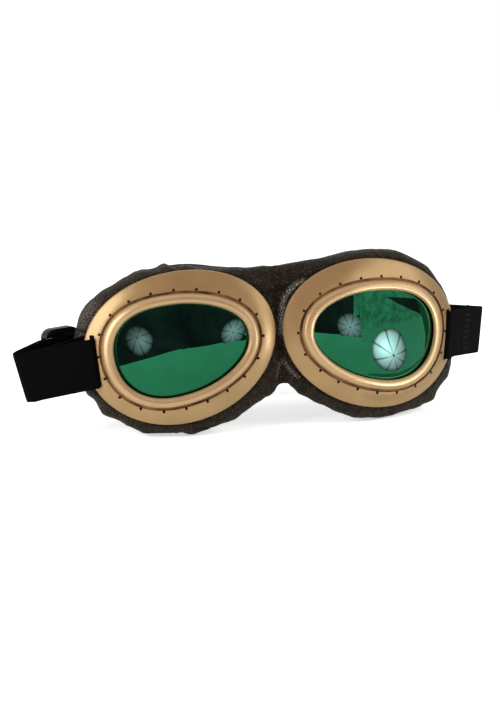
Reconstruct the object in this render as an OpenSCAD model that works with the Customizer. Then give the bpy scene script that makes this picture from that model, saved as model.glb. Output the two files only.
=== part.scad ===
// Pair of costume flying goggles: two moulded frame plates on padded leatherette
// eye cups, a soft nose bridge, and an elastic head strap with a slider.
// The origin is midway between the two lens centres. +Y is towards the face.

/* [Lens opening] */
// Width of the lens opening, along its own tilted axis
opening_w = 66.8; // [60:0.2:68]
// Height of the lens opening
opening_h = 45.4; // [40:0.2:46]
// Squareness of the opening, where 2 is an ellipse
opening_square = 2.18; // [2:0.02:2.4]
// How much taller the temple end of the opening is than its nose end
opening_taper = 0.178; // [0.1:0.01:0.2]
// Droop of the opening towards the temple, in degrees
opening_tilt = 10.8; // [8:0.2:13]

/* [Frame plate] */
// How much wider a frame plate is than its lens opening
flange_wide = 29.8; // [29.2:0.2:37]
// How much taller a frame plate is than its lens opening
flange_tall = 30.8; // [29.6:0.2:36.6]
// Droop of the frame plate towards the temple, in degrees
frame_tilt = 15.3; // [12:0.2:17]
// Gap between the two frame plates at the nose
nose_gap = 3.6; // [2:0.2:6]
// Slope of the pair round the face at each eye centre
wrap_slope = 0.1715; // [0.14:0.005:0.2]
// Bow of the pair round the face, per millimetre
wrap_bow = 0.0039; // [0.003:0.0001:0.0045]
// Thickness of the frame plate's flange
flange_t = 2.1; // [1.8:0.1:2.6]
// Depth of the flange's outer edge behind its inner edge
flange_drop = 2.8; // [2:0.1:3.4]
// Thickness of the frame plate's ring under the lens rim
frame_ring_t = 4.2; // [3.8:0.1:5]
// Moulded stitch marks round each frame
mark_count = 20; // [12:1:28]
// Width of a stitch mark
mark_w = 1.2; // [0.8:0.1:1.5]
// Length of a stitch mark
mark_l = 2.4; // [2:0.1:3]

/* [Lens and rim] */
// Width of the raised lens rim
rim_w = 6.2; // [5.6:0.1:6.6]
// Height of the lens rim's crest in front of its foot
rim_h = 4; // [3:0.1:4.6]
// Depth of the rebate in the rim's foot that takes the lens and its gasket
rim_rebate = 1.2; // [0.8:0.1:1.4]
// Width of the groove between the rim and the flange
groove_w = 0.8; // [0.5:0.1:1.1]
// Thickness of the lens
lens_t = 2; // [1.6:0.1:2.2]
// Height of the lens's dome
lens_dome = 3.5; // [2:0.1:4]
// Thickness of the rubber gasket
gasket_t = 0.55; // [0.4:0.05:0.7]

/* [Clamp ring] */
// Thickness of the ring that clamps the leatherette
clamp_t = 1.4; // [1:0.1:1.8]
// Screws in each clamp ring
screw_count = 6; // [4:1:8]
// Radius of a screw's shank
screw_r = 0.8; // [0.6:0.05:0.9]
// Radius of a screw's head
screw_head_r = 1.7; // [1.5:0.05:1.8]
// Height of a screw's head
screw_head_h = 1.1; // [0.8:0.1:1.4]
// Depth of a screw in the frame
screw_bite = 3; // [2:0.1:3.2]

/* [Leatherette cups] */
// Thickness of the leatherette lip under the clamp ring
lip_t = 0.5; // [0.4:0.05:0.8]
// Depth of the cups, from the lens opening back to their rear edge
cup_depth = 19.5; // [18:0.5:22]
// How far the cup stands out beyond the frame, on average
cup_margin = 5.7; // [5:0.1:7]
// How much further it stands out below than above
cup_sag = 2.4; // [1.5:0.1:3]
// Depth of the gathers round the cup's edge
gather_h = 0.5; // [0:0.1:0.8]
// Half the width of the nose bridge
bridge_half = 4; // [3:0.2:5]
// Depth of the nose bridge's rear face behind the lens centres
bridge_back = 13; // [12:0.5:15]
// Thickness of the foam face pads
pad_t = 3.5; // [2:0.1:4.5]

/* [Strap] */
// Width of the elastic
strap_w = 25.4; // [22:0.2:26]
// Thickness of the elastic
strap_t = 1.2; // [1:0.05:1.3]
// Width of the frame's web between its groove and the strap slot
slot_web = 1.3; // [1:0.1:1.6]
// Play round the elastic in the frame's slot, on each side
slot_play = 0.55; // [0.4:0.05:0.6]
// Lean of the slot, with its top away from the nose, in degrees
slot_lean = 5; // [3:0.5:7]
// Reach of the strap's left fold beyond the left slot
left_reach = 40.5; // [38:0.5:46]
// Reach of the strap's right fold beyond the right slot
right_reach = 30; // [26:1:33]
// Depth of the strap's back run behind the lens centres
back_run = 67; // [64:1:72]
// Angle of the straight run that the slider travels, in degrees
run_angle = 28; // [26:0.5:30]

/* [Slider] */
// Length of the slider along the strap
slider_l = 20; // [18:0.5:22]
// Height of each of the slider's rails beyond the strap
slider_rail = 4.3; // [3:0.1:5]
// Thickness of the slider's bars
slider_bar_t = 1.3; // [1:0.1:1.6]
// Width of the slider's centre bar
slider_centre_w = 3.2; // [2.6:0.1:4]
// Distance from the left fold's corner to the slider
slider_place = 28; // [28:0.5:34]

/* [Hidden] */
$fn = 32;

gold = "#b79866";
pale_gold = "#d8b382";
leatherette = "#2f2620";
elastic = "#141414";

ring_steps = 64;        // stations round each eye
seat_gap = 0.1;         // clearance between parts that are clamped together
cloth_gap = 0.3;        // clearance beside leatherette and foam
play = 0.15;            // clearance beside the elastic
touch = 0.02;           // clearance between a screw and its hole

// Outlines, in a plane across the view, relative to the eye's centre
function power(v, e) = sign(v) * pow(abs(v), e);
function turn(p, a) = [p[0] * cos(a) - p[1] * sin(a), p[0] * sin(a) + p[1] * cos(a)];
function unit(v) = v / norm(v);
function oval(t, w, h, square, taper, tilt) =
    turn([w / 2 * power(cos(t), 2 / square),
          h / 2 * power(sin(t), 2 / square) * (1 + taper * cos(t))], -tilt);
function side(d) = [d[1], -d[0]];

frame_w = opening_w + flange_wide;
frame_h = opening_h + flange_tall;
frame_square = 2.03;
frame_taper = 0.037;
frame_shift = [-0.25, 0.1];
function opening(t) = oval(t, opening_w, opening_h, opening_square, opening_taper, opening_tilt);
function opening_out(t) = side(unit(opening(t + 1) - opening(t - 1)));
function beside(t, r) = opening(t) + r * opening_out(t);
function edge(t) = oval(t, frame_w, frame_h, frame_square, frame_taper, frame_tilt) + frame_shift;
function edge_out(t) = side(unit(edge(t + 1) - edge(t - 1)));
function beyond(t, k) = edge(t) + k * edge_out(t);
function across(t, s) = beside(t, groove_out) * (1 - s) + edge(t) * s;

groove_out = rim_w + groove_w;
whole_turn = [for (t = [0:1:359]) edge(t)[0]];
eye_x = nose_gap / 2 - min(whole_turn);
temple_x = max(whole_turn);

// Depths behind the lens opening's surface
function wrap(x) = wrap_slope * x + wrap_bow * x * x;
function place(p, d) = [p[0] + eye_x, wrap(p[0]) + d, p[1]];
rim_foot = 2.1;
ring_front = rim_foot + seat_gap;
ring_back = ring_front + frame_ring_t;
flange_front = 0.9;
function flange_d(s) = flange_front + flange_drop * pow(s, 1.7);
rim_lip = rim_foot - rim_rebate;
gasket_front = rim_lip + seat_gap;
lens_front = gasket_front + gasket_t + seat_gap;
lens_seat = lens_front + lens_t + seat_gap;
lens_land = 2.6;        // the lens reaches this far beyond the opening
lens_well = lens_land + 0.3;
ledge_in = 0.9;         // the frame's ledge under the lens starts here
lip_front = ring_back + seat_gap;
lip_back = lip_front + lip_t;
clamp_front = lip_back + seat_gap;
clamp_back = clamp_front + clamp_t;
clamp_in = 1.2;
clamp_out = 6.6;
screw_line = 4.6;
ring_out = groove_out + 0.1;
cavity_wall = ring_out + seat_gap;

// A closed ring round one eye, from a profile at each station
module ring(profile) {
    rows = [for (i = [0:ring_steps - 1]) profile(360 * i / ring_steps)];
    n = ring_steps;
    m = len(rows[0]);
    polyhedron(
        points = [for (row = rows) each row],
        faces = [for (i = [0:n - 1], j = [0:m - 1])
            let (a = i * m + j, b = i * m + (j + 1) % m,
                 c = (i + 1) % n * m + (j + 1) % m, d = (i + 1) % n * m + j)
            each [[a, c, b], [a, d, c]]],
        convexity = 8);
}

module left() mirror([1, 0, 0]) children();

// Frame plate
function frame_profile(t) = [
    place(beside(t, ledge_in), ring_back),
    place(beside(t, ledge_in), lens_seat),
    place(beside(t, lens_well), lens_seat),
    place(beside(t, lens_well), ring_front),
    place(beside(t, groove_out), ring_front),
    place(beside(t, groove_out), flange_front),
    place(across(t, 0.35), flange_d(0.35)),
    place(across(t, 0.7), flange_d(0.7)),
    place(across(t, 0.93), flange_d(0.93)),
    place(across(t, 1), flange_d(1) + 0.4),
    place(across(t, 1), flange_d(1) + flange_t * 0.6),
    place(across(t, 0.93), flange_d(0.93) + flange_t),
    place(across(t, 0.4), flange_d(0.4) + flange_t),
    place(across(t, 0.06), flange_d(0.06) + flange_t),
    place(beside(t, ring_out), ring_back)
];

// Places of the stitch marks, evenly spaced along the groove
mark_line = rim_w + groove_w / 2;
mark_phase = 0.35;
groove_length = [for (t = 0, sum = 0; t <= 360;
    sum = sum + norm(beside(t + 2, mark_line) - beside(t, mark_line)), t = t + 2) [sum, t]];
groove_total = groove_length[len(groove_length) - 1][0];
function mark_angle(i) = lookup(groove_total * (i + mark_phase) / mark_count, groove_length);

module marks() {
    for (i = [0:mark_count - 1]) {
        t = mark_angle(i);
        out = opening_out(t);
        c = place(beside(t, mark_line + mark_l / 2 - groove_w), flange_front);
        translate(c) rotate([0, -atan2(out[1], out[0]), 0])
            translate([-mark_l / 2, -3, -mark_w / 2]) cube([mark_l, 3 + 1, mark_w]);
    }
}

slot_w = strap_t + 2 * slot_play;
slot_h = strap_w + 2 * slot_play;
slot_rise = 1.9;
slot_c = beside(0, groove_out + slot_web + slot_w / 2) + [0, slot_rise];
slot_x = eye_x + slot_c[0];
slot_z = slot_c[1];

module strap_slot() {
    translate([slot_x, 0, slot_z]) rotate([0, slot_lean, 0])
        translate([-slot_w / 2, 0, -slot_h / 2]) cube([slot_w, 40, slot_h]);
}

function screw_angle(i) = 360 * (i + 0.5) / screw_count;
function screw_point(i, d) = place(beside(screw_angle(i), screw_line), d);

module screw_holes(r, front, back) {
    for (i = [0:screw_count - 1])
        translate(screw_point(i, front)) rotate([-90, 0, 0]) cylinder(r = r, h = back - front);
}

module frame_plate() {
    color(gold) difference() {
        ring(function(t) frame_profile(t));
        marks();
        strap_slot();
        screw_holes(screw_r + touch, ring_back - screw_bite, ring_back + 1);
    }
}

// Raised lens rim
rim_shape = [
    [0, 0.5], [0.06, 0.36], [0.16, 0.18], [0.3, 0.05], [0.46, 0],
    [0.66, 0.06], [0.83, 0.24], [0.94, 0.5], [0.99, 0.78], [1, 1]
];
function rim_profile(t) = concat(
    [place(beside(t, lens_well), rim_foot), place(beside(t, lens_well), rim_lip),
     place(beside(t, 0.02 * rim_w), rim_lip)],
    [for (q = rim_shape) place(beside(t, q[0] * rim_w), rim_foot - (1 - q[1]) * rim_h)]);

module lens_rim() color(pale_gold) ring(function(t) rim_profile(t));

// Rubber gasket between the rim and the lens
function gasket_profile(t) = [
    place(beside(t, 0.5), gasket_front + gasket_t),
    place(beside(t, 0.5), gasket_front),
    place(beside(t, lens_land), gasket_front),
    place(beside(t, lens_land), gasket_front + gasket_t)
];

module lens_gasket() color("#1a1a1a") ring(function(t) gasket_profile(t));

// Domed lens with a flat land under the gasket
dome_steps = 5;
function dome_row(k, d) = let (q = k / dome_steps) [for (i = [0:ring_steps - 1])
    let (p = q * beside(360 * i / ring_steps, 0.2)) place(p, d - lens_dome * (1 - q * q))];
function land_row(d) = [for (i = [0:ring_steps - 1])
    place(beside(360 * i / ring_steps, lens_land), d)];

module lens() {
    front = concat([for (k = [1:dome_steps]) dome_row(k, lens_front)], [land_row(lens_front)]);
    back = concat([land_row(lens_front + lens_t)],
                  [for (k = [dome_steps:-1:1]) dome_row(k, lens_front + lens_t)]);
    rows = concat(front, back);
    n = ring_steps;
    last = len(rows);
    tips = [place([0, 0], lens_front - lens_dome), place([0, 0], lens_front + lens_t - lens_dome)];
    color("#1f7a4d") polyhedron(
        points = concat([for (row = rows) each row], tips),
        faces = concat(
            [for (k = [0:last - 2], i = [0:n - 1])
                let (a = k * n + i, b = k * n + (i + 1) % n, c = b + n, d = a + n)
                each [[a, b, c], [a, c, d]]],
            [for (i = [0:n - 1]) [last * n, (i + 1) % n, i]],
            [for (i = [0:n - 1]) [last * n + 1, (last - 1) * n + i, (last - 1) * n + (i + 1) % n]]),
        convexity = 4);
}

// Clamp ring and its screws, behind the frame plate
function clamp_profile(t) = [
    place(beside(t, clamp_in), clamp_back),
    place(beside(t, clamp_in), clamp_front),
    place(beside(t, clamp_out), clamp_front),
    place(beside(t, clamp_out), clamp_back)
];

module clamp_ring() {
    color("#3a3a3a") difference() {
        ring(function(t) clamp_profile(t));
        screw_holes(screw_r + touch, clamp_front - 2, clamp_back + 2);
    }
}

// The ring slopes round the face, so each screw head stands off its highest side
function head_lift(i) = let (x = screw_point(i, 0)[0] - eye_x)
    screw_head_r * abs(wrap_slope + 2 * wrap_bow * x) + 2 * touch;

module clamp_screws() {
    color("#8a8a8a") for (i = [0:screw_count - 1]) {
        head = clamp_back + head_lift(i);
        translate(screw_point(i, head)) rotate([-90, 0, 0]) difference() {
            cylinder(r = screw_head_r, h = screw_head_h);
            translate([-screw_head_r, -0.2, screw_head_h - 0.5]) cube([2 * screw_head_r, 0.4, 1]);
        }
        translate(screw_point(i, ring_back - screw_bite + 0.2)) rotate([-90, 0, 0])
            cylinder(r = screw_r, h = head - ring_back + screw_bite);
    }
}

// Padded leatherette cup: a crowned roll round the frame
function bump(t, at, spread) = let (d = (t - at + 540) % 360 - 180) exp(-d * d / (2 * spread * spread));
function margin(t) = cup_margin - cup_sag * sin(t)
    - 2.2 * bump(t, 10, 14)         // drawn in where the strap pulls
    - 0.9 * bump(t, 45, 16)
    + 2.6 * bump(t, 332, 16)        // and full below it
    + 12.2 * bump(t, 164, 14)       // webbed across the nose above
    + 4 * bump(t, 216, 11)          // and below
    + gather_h * sin(13 * t) * (bump(t, 300, 40) + bump(t, 60, 35));
frame_back = flange_t + cloth_gap;
function cup_profile(t) = let (m = margin(t)) [
    place(beside(t, clamp_in + 1), lip_front),
    place(beside(t, cavity_wall), lip_front),
    place(across(t, 0.12), flange_d(0.12) + frame_back),
    place(across(t, 0.55), flange_d(0.55) + frame_back),
    place(across(t, 0.97), flange_d(0.97) + frame_back),
    place(beyond(t, 0.3 * m), flange_d(1) + 1.6),
    place(beyond(t, 0.72 * m), flange_d(1) + 3.4),
    place(beyond(t, 0.97 * m), flange_d(1) + 6.6),
    place(beyond(t, m), cup_depth * 0.7),
    place(beyond(t, 0.94 * m), cup_depth * 0.88),
    place(beyond(t, 0.62 * m), cup_depth * 0.985),
    place(across(t, 0.65), cup_depth),
    place(across(t, 0.15), cup_depth * 0.96),
    place(beside(t, cavity_wall), cup_depth * 0.8),
    place(beside(t, cavity_wall), lip_back),
    place(beside(t, clamp_in + 1), lip_back)
];

// The bar outside the strap slot, in plan: its front and back faces at mid height
function bar_s(x) = (x - beside(0, groove_out)[0]) / (temple_x - beside(0, groove_out)[0]);
bar_in_x = slot_c[0] + slot_w / 2;
bar_in = [eye_x + bar_in_x, wrap(bar_in_x) + flange_d(bar_s(bar_in_x))];
bar_out = [eye_x + temple_x, wrap(temple_x) + flange_d(1) + 0.4];
bar_way = unit(bar_out - bar_in);
bar_front_way = side(bar_way);
bar_angle = atan2(bar_way[1], bar_way[0]);

// Room for the doubled elastic between the bar and the leatherette
module strap_channel() {
    depth = bar_t + 2 * hug + slot_tilt * strap_w / 2 + cloth_gap;
    intersection() {
        translate([bar_in[0], bar_in[1], slot_z]) rotate([0, 0, bar_angle])
            translate([-20, -20, -slot_h / 2 - 1]) cube([80, 20 + depth, slot_h + 2]);
        translate([slot_x, 0, slot_z]) rotate([0, slot_lean, 0])
            translate([-slot_w / 2, 0, -slot_h]) cube([60, 60, 2 * slot_h]);
    }
}

floor_flat = 0.5;
relief_slant = 3.5;
relief_flare = 0.95;
cup_rows = [for (i = [0:ring_steps - 1]) beyond(360 * i / ring_steps, margin(360 * i / ring_steps))[1]];
floor_z = min(cup_rows) + floor_flat;
far = 300;

// Room for the nose: a wedge that opens towards the face and slants forwards below
module nose_relief(extra) {
    deep = 40;
    flat = 1.5 + extra;
    translate([0, bridge_back - extra, 0]) rotate([-relief_slant, 0, 0])
        translate([0, 0, -far / 2]) linear_extrude(far)
            polygon([[-flat, 0], [flat, 0], [flat + deep * relief_flare, deep],
                     [-flat - deep * relief_flare, deep]]);
}

module cup_shell() {
    difference() {
        ring(function(t) cup_profile(t));
        nose_relief(0);
        translate([-far, -far, floor_z - far]) cube([2 * far, 2 * far, far]);
    }
}

module mask_cup() {
    color(leatherette) difference() {
        cup_shell();
        strap_channel();
        screw_holes(screw_r + seat_gap, lip_front - 1, lip_back + 1);
        translate([-far + bridge_half, -far, -far]) cube([far, 2 * far, 2 * far]);
    }
}

module half_bridge() {
    intersection() {
        cup_shell();
        translate([0, -far, -far]) cube([bridge_half - seat_gap, 2 * far, 2 * far]);
    }
}

module nose_bridge() {
    color(leatherette) {
        half_bridge();
        left() half_bridge();
    }
}

// Foam pad on the rear edge of the cup
pad_front = cup_depth + cloth_gap;
function pad_profile(t) = let (m = margin(t)) [
    place(across(t, 0.3), pad_front),
    place(beyond(t, 0.45 * m), pad_front),
    place(beyond(t, 0.5 * m), pad_front + pad_t * 0.6),
    place(across(t, 0.95), pad_front + pad_t),
    place(across(t, 0.5), pad_front + pad_t),
    place(across(t, 0.25), pad_front + pad_t * 0.6)
];

module face_pad() {
    color("#3b3b3d") difference() {
        ring(function(t) pad_profile(t));
        nose_relief(1.5);
        translate([-far + bridge_half + 3, -far, -far]) cube([far, 2 * far, 2 * far]);
    }
}

// Elastic band: its way in plan is a line with rounded corners. Each corner is
// [x, y, z, lean, radius], where lean moves the band's top sideways per millimetre.
hug = strap_t / 2 + play;
bar_t = flange_t + 0.7;
slot_tilt = tan(slot_lean);
bar_front_out = bar_out + (hug + 0.8) * bar_front_way;
bar_front_y = (bar_in + hug * bar_front_way)[1]
    + (slot_x - (bar_in + hug * bar_front_way)[0]) * tan(bar_angle);
bar_back_out = bar_out - (bar_t + hug) * bar_front_way + 1.1 * bar_way;
bar_back_y = (bar_in - (bar_t + hug) * bar_front_way)[1]
    + (slot_x - (bar_in - (bar_t + hug) * bar_front_way)[0]) * tan(bar_angle);
bar_r = 1;
slot_mid_y = (bar_front_y + bar_back_y) / 2;
layer = strap_t + play;

right_fold = [slot_x + right_reach, bar_front_y + right_reach * 1.04];
right_way = unit(right_fold - bar_front_out);
right_in = -side(right_way);
tab_start = bar_front_out + 9 * right_way + layer * right_in;
tab_end = bar_front_out + 17 * right_way + layer * right_in;

left_fold = [-slot_x - left_reach, bar_front_y + 0.37 * left_reach];
run_way = [cos(run_angle), sin(run_angle)];
front_way = unit([-slot_x, bar_front_y] - left_fold);
fold_r = 3.2;
run_end = left_fold + 77 * run_way;
fold_z = -15.2;
slider_z = -9.7;

strap_path = [
    [tab_end[0], tab_end[1], -7, slot_tilt, 0],
    [tab_start[0], tab_start[1], -6.6, slot_tilt, 4],
    [bar_back_out[0], bar_back_out[1], slot_z, slot_tilt, 1.5],
    [slot_x, bar_back_y, slot_z, slot_tilt, bar_r],
    [slot_x, bar_front_y, slot_z, slot_tilt, bar_r],
    [bar_front_out[0], bar_front_out[1], slot_z, slot_tilt, 6],
    [right_fold[0], right_fold[1], -10.6, 0.105, 2.4],
    [slot_x, right_fold[1] + 12, -8.5, 0.06, 40],
    [46, back_run, -6, 0.02, 60],
    [run_end[0] + 16, back_run, -6.5, 0, 30],
    [run_end[0], run_end[1], -7.5, 0, 20],
    [left_fold[0] + 44 * run_way[0], left_fold[1] + 44 * run_way[1], slider_z, 0, 0],
    [left_fold[0] + 16 * run_way[0], left_fold[1] + 16 * run_way[1], slider_z - 0.3, 0, 0],
    [left_fold[0], left_fold[1], fold_z, -0.25, fold_r],
    [-slot_x, bar_front_y, slot_z, -slot_tilt, bar_r],
    [-slot_x, slot_mid_y, slot_z, -slot_tilt, 0]
];

function corner_cut(a, b, c, r) =
    let (u = unit([a[0] - b[0], a[1] - b[1]]), v = unit([c[0] - b[0], c[1] - b[1]]),
         half = acos(max(-1, min(1, u * v))) / 2)
    min(r / tan(max(half, 1)), 0.48 * norm([a[0] - b[0], a[1] - b[1]]),
        0.48 * norm([c[0] - b[0], c[1] - b[1]]));
function mix(a, b, q) = a * (1 - q) + b * q;
function corner(a, b, c, steps) = b[4] == 0 ? [b] :
    let (cut = corner_cut(a, b, c, b[4]),
         p = mix(b, a, cut / norm([a[0] - b[0], a[1] - b[1]])),
         q = mix(b, c, cut / norm([c[0] - b[0], c[1] - b[1]])))
    [for (i = [0:steps]) let (w = i / steps) mix(mix(p, b, w), mix(b, q, w), w)];
function rounded(path, steps) = let (last = len(path) - 1)
    concat([path[0]], [for (i = [1:last - 1]) each corner(path[i - 1], path[i], path[i + 1], steps)],
           [path[last]]);

module band(path, steps) {
    line = rounded(path, steps);
    n = len(line);
    rows = [for (i = [0:n - 1])
        let (a = line[max(i - 1, 0)], b = line[min(i + 1, n - 1)], p = line[i],
             out = side(unit([b[0] - a[0], b[1] - a[1]])) * strap_t / 2)
        [for (q = [[1, 1], [1, -1], [-1, -1], [-1, 1]])
            [p[0] + q[0] * out[0] + q[1] * p[3] * strap_w / 2,
             p[1] + q[0] * out[1],
             p[2] + q[1] * strap_w / 2]]];
    polyhedron(
        points = [for (row = rows) each row],
        faces = concat(
            [for (i = [0:n - 2], j = [0:3])
                let (a = i * 4 + j, b = i * 4 + (j + 1) % 4, c = b + 4, d = a + 4)
                each [[a, c, b], [a, d, c]]],
            [[0, 1, 2], [0, 2, 3], [4 * n - 4, 4 * n - 2, 4 * n - 3], [4 * n - 4, 4 * n - 1, 4 * n - 2]]),
        convexity = 10);
}

corner_steps = 6;
module strap() color(elastic) band(strap_path, corner_steps);

// Doubled end: from the left slot behind the bar, inside the fold and round the
// slider's centre bar, then sewn back on itself
slider_c = left_fold + slider_place * run_way;
run_in = side(run_way);
function on_run(along, inwards) = slider_c + along * run_way + inwards * run_in;
fold_half = acos(front_way * run_way) / 2;
inner_layer = layer + 0.25;
fold_bisector = unit(front_way + run_way);
inner_fold = left_fold + inner_layer / sin(fold_half) * fold_bisector;
pinch = left_fold + 19 * front_way - inner_layer * side(front_way);
wrap_half = slider_bar_t / 2 + play + strap_t / 2;
bar_line = layer + play + strap_t / 2 + slider_bar_t / 2;
wrap_x = slider_centre_w / 2 + 1.4;
function tail_corner(p, z, lean, r) = [p[0], p[1], z, lean, r];
adjuster_path = [
    tail_corner([-slot_x, slot_mid_y + touch], slot_z, -slot_tilt, 0),
    tail_corner([-slot_x, bar_back_y], slot_z, -slot_tilt, bar_r),
    tail_corner([-bar_back_out[0], bar_back_out[1]], slot_z, -slot_tilt, 1.5),
    tail_corner(pinch, -11, -0.18, 12),
    tail_corner(inner_fold, fold_z, -0.25, fold_r - layer),
    tail_corner(on_run(-12, layer + 0.05), slider_z - 0.25, 0, 0),
    tail_corner(on_run(wrap_x, layer), slider_z, 0, wrap_half),
    tail_corner(on_run(wrap_x, bar_line + wrap_half), slider_z, 0, wrap_half),
    tail_corner(on_run(-wrap_x, bar_line + wrap_half), slider_z, 0, 2),
    tail_corner(on_run(-wrap_x - 3, 2 * layer + 0.1), slider_z, 0, 2),
    tail_corner(on_run(-15, 2 * layer + 0.1), slider_z - 0.9, -0.03, 0)
];

module adjuster_tail() color(elastic) band(adjuster_path, corner_steps);

// Rows of lock stitches through the right strap end
stitch_rows = 3;
stitch_pitch = 3;
stitch_r = 0.3;
module strap_stitches() {
    count = floor((strap_w - 3) / stitch_pitch);
    color("#262626") for (row = [0:stitch_rows - 1], i = [0:count - 1]) {
        p = bar_front_out + (10 + 2.5 * row) * right_way - strap_t / 2 * right_in;
        z = (i - (count - 1) / 2) * stitch_pitch;
        along = (norm(p - bar_front_out)) / norm(right_fold - bar_front_out);
        mid = slot_z * (1 - along) - 10.6 * along;
        translate([p[0] + z * slot_tilt, p[1], mid + z - 1])
            cylinder(r = stitch_r, h = 2);
    }
}

// Slider: two rails, two bars outside the strap and a centre bar inside it
module rounded_plate(l, h, r) {
    square([l - 2 * r, h], center = true);
    square([l, h - 2 * r], center = true);
    for (x = [-1, 1], y = [-1, 1]) translate([x * (l / 2 - r), y * (h / 2 - r)]) circle(r);
}

module slider() {
    window_h = strap_w + 1;
    h = window_h + 2 * slider_rail;
    corner_r = 5;
    end_bar = 3;
    strap_room = strap_t / 2 + play;
    centre_in = bar_line - slider_bar_t / 2;
    color("#0c0c0c") translate([slider_c[0], slider_c[1], slider_z]) rotate([90, 0, run_angle]) {
        translate([0, 0, -strap_room - slider_bar_t]) linear_extrude(slider_bar_t) difference() {
            rounded_plate(slider_l, h, corner_r);
            square([slider_l - 2 * end_bar, window_h], center = true);
        }
        translate([0, 0, -strap_room]) linear_extrude(strap_room + centre_in) difference() {
            rounded_plate(slider_l, h, corner_r);
            square([slider_l + 2, window_h], center = true);
        }
        translate([0, 0, centre_in]) linear_extrude(slider_bar_t) difference() {
            rounded_plate(slider_l, h, corner_r);
            for (x = [-1, 1]) translate([x * (slider_l + slider_centre_w) / 4, 0])
                square([(slider_l - slider_centre_w) / 2 + 0.01, window_h], center = true);
        }
    }
}

left() frame_plate();  // frame_left
frame_plate();  // frame_right
left() lens_rim();  // lens_rim_left
lens_rim();  // lens_rim_right
left() lens_gasket();  // lens_gasket_left
lens_gasket();  // lens_gasket_right
left() lens();  // lens_left
lens();  // lens_right
left() clamp_ring();  // clamp_ring_left
clamp_ring();  // clamp_ring_right
left() clamp_screws();  // clamp_screws_left
clamp_screws();  // clamp_screws_right
left() mask_cup();  // mask_left
mask_cup();  // mask_right
nose_bridge();
left() face_pad();  // face_pad_left
face_pad();  // face_pad_right
strap();
adjuster_tail();
strap_stitches();
slider();
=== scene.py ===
"""Looks of a pair of costume flying goggles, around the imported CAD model.

Lengths in the shape functions are millimetres in the part's own frame: +X to the
right lens as seen from in front, +Y back towards the face, +Z up. side is 1 for
the right half and -1 for the left one. t is an angle round an eye in degrees, from
its temple end upwards, and a depth is how far a point lies behind the eye's front.
"""
import bmesh
import bpy
import math
from mathutils import Matrix, Vector, noise


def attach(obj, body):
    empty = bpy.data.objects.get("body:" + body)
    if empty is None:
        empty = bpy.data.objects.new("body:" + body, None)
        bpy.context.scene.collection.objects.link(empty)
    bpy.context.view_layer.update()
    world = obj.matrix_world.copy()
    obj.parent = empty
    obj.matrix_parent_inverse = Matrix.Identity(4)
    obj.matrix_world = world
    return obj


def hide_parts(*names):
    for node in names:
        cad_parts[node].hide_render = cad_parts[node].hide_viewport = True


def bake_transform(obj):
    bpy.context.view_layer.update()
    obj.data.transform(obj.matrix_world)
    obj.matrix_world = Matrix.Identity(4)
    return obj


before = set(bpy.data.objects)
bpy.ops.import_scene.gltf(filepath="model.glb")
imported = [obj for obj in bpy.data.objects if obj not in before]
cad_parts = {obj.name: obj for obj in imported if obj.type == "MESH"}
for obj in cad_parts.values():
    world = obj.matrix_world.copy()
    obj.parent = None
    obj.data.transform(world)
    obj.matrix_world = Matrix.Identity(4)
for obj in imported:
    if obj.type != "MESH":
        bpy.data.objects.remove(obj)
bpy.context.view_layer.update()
MM = 0.001
# Points closer than this are one point
WELD = 0.01 * MM
FLOOR_Z = -47.13


# Eye outlines
EYE_X = 49.697
# Width, height, squareness, taper towards the nose, tilt in degrees
OPENING = (66.8, 45.4, 2.18, 0.178, 10.8)
EDGE = (96.6, 76.2, 2.03, 0.037, 15.3)
EDGE_SHIFT = (-0.25, 0.1)
# Distances outwards from the edge of the opening
RIM_W = 5.75
GROOVE_OUT = 7.0
SEAT_IN, SEAT_OUT = 0.9, 2.9
# How much narrower the bead and the groove are above and below the lens
NARROWING = 0.1
# How the pair curves back round the face: its slope and its bend at an eye's centre
WRAP_SLOPE, WRAP_BEND = 0.1715, 0.0039
# Depth of the flange at the groove, how much deeper its edge is, and its roundness
FLANGE_DEPTH, FLANGE_DROP, FLANGE_ROUND = 0.9, 2.8, 1.7
CUP_DEPTH = 19.5
EYE_STEPS = 180


def power(value, exponent):
    return math.copysign(abs(value) ** exponent, value)


def clamped(value):
    return max(0.0, min(1.0, value))


def hill(distance, width):
    return math.exp(-distance * distance / (2 * width * width))


def oval(t, width, height, square, taper, tilt):
    angle, lean = math.radians(t), math.radians(-tilt)
    x = width / 2 * power(math.cos(angle), 2 / square)
    z = height / 2 * power(math.sin(angle), 2 / square) * (1 + taper * math.cos(angle))
    return Vector((x * math.cos(lean) - z * math.sin(lean),
                   x * math.sin(lean) + z * math.cos(lean)))


def opening(t):
    return oval(t, *OPENING)


def edge(t):
    return oval(t, *EDGE) + Vector(EDGE_SHIFT)


def outward(outline, t):
    way = outline(t + 0.5) - outline(t - 0.5)
    return Vector((way.y, -way.x)).normalized()


def beside(t, distance):
    """A point that far outside the opening."""
    return opening(t) + distance * outward(opening, t)


def beyond(t, distance):
    """A point that far outside the frame's edge."""
    return edge(t) + distance * outward(edge, t)


def narrowed(t):
    return 1 - NARROWING * math.sin(math.radians(t)) ** 2


def across(t, share):
    """A point that share of the way over the flange, from the groove to the edge."""
    return beside(t, GROOVE_OUT * narrowed(t)).lerp(edge(t), share)


def wrap(x):
    """How far the pair has curved back round the face, x beyond an eye's centre."""
    return WRAP_SLOPE * x + WRAP_BEND * x * x


def place(side, p, depth):
    return Vector((side * (p.x + EYE_X), wrap(p.x) + depth, p.y)) * MM


def flange_depth(share):
    return FLANGE_DEPTH + FLANGE_DROP * share ** FLANGE_ROUND


def through(a, b, c, d, w):
    """The point w of the way from b to c on a smooth line through all four."""
    return b + 0.5 * w * (c - a + w * (2 * a - 5 * b + 4 * c - d + w * (3 * b - 3 * c + d - a)))


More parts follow.
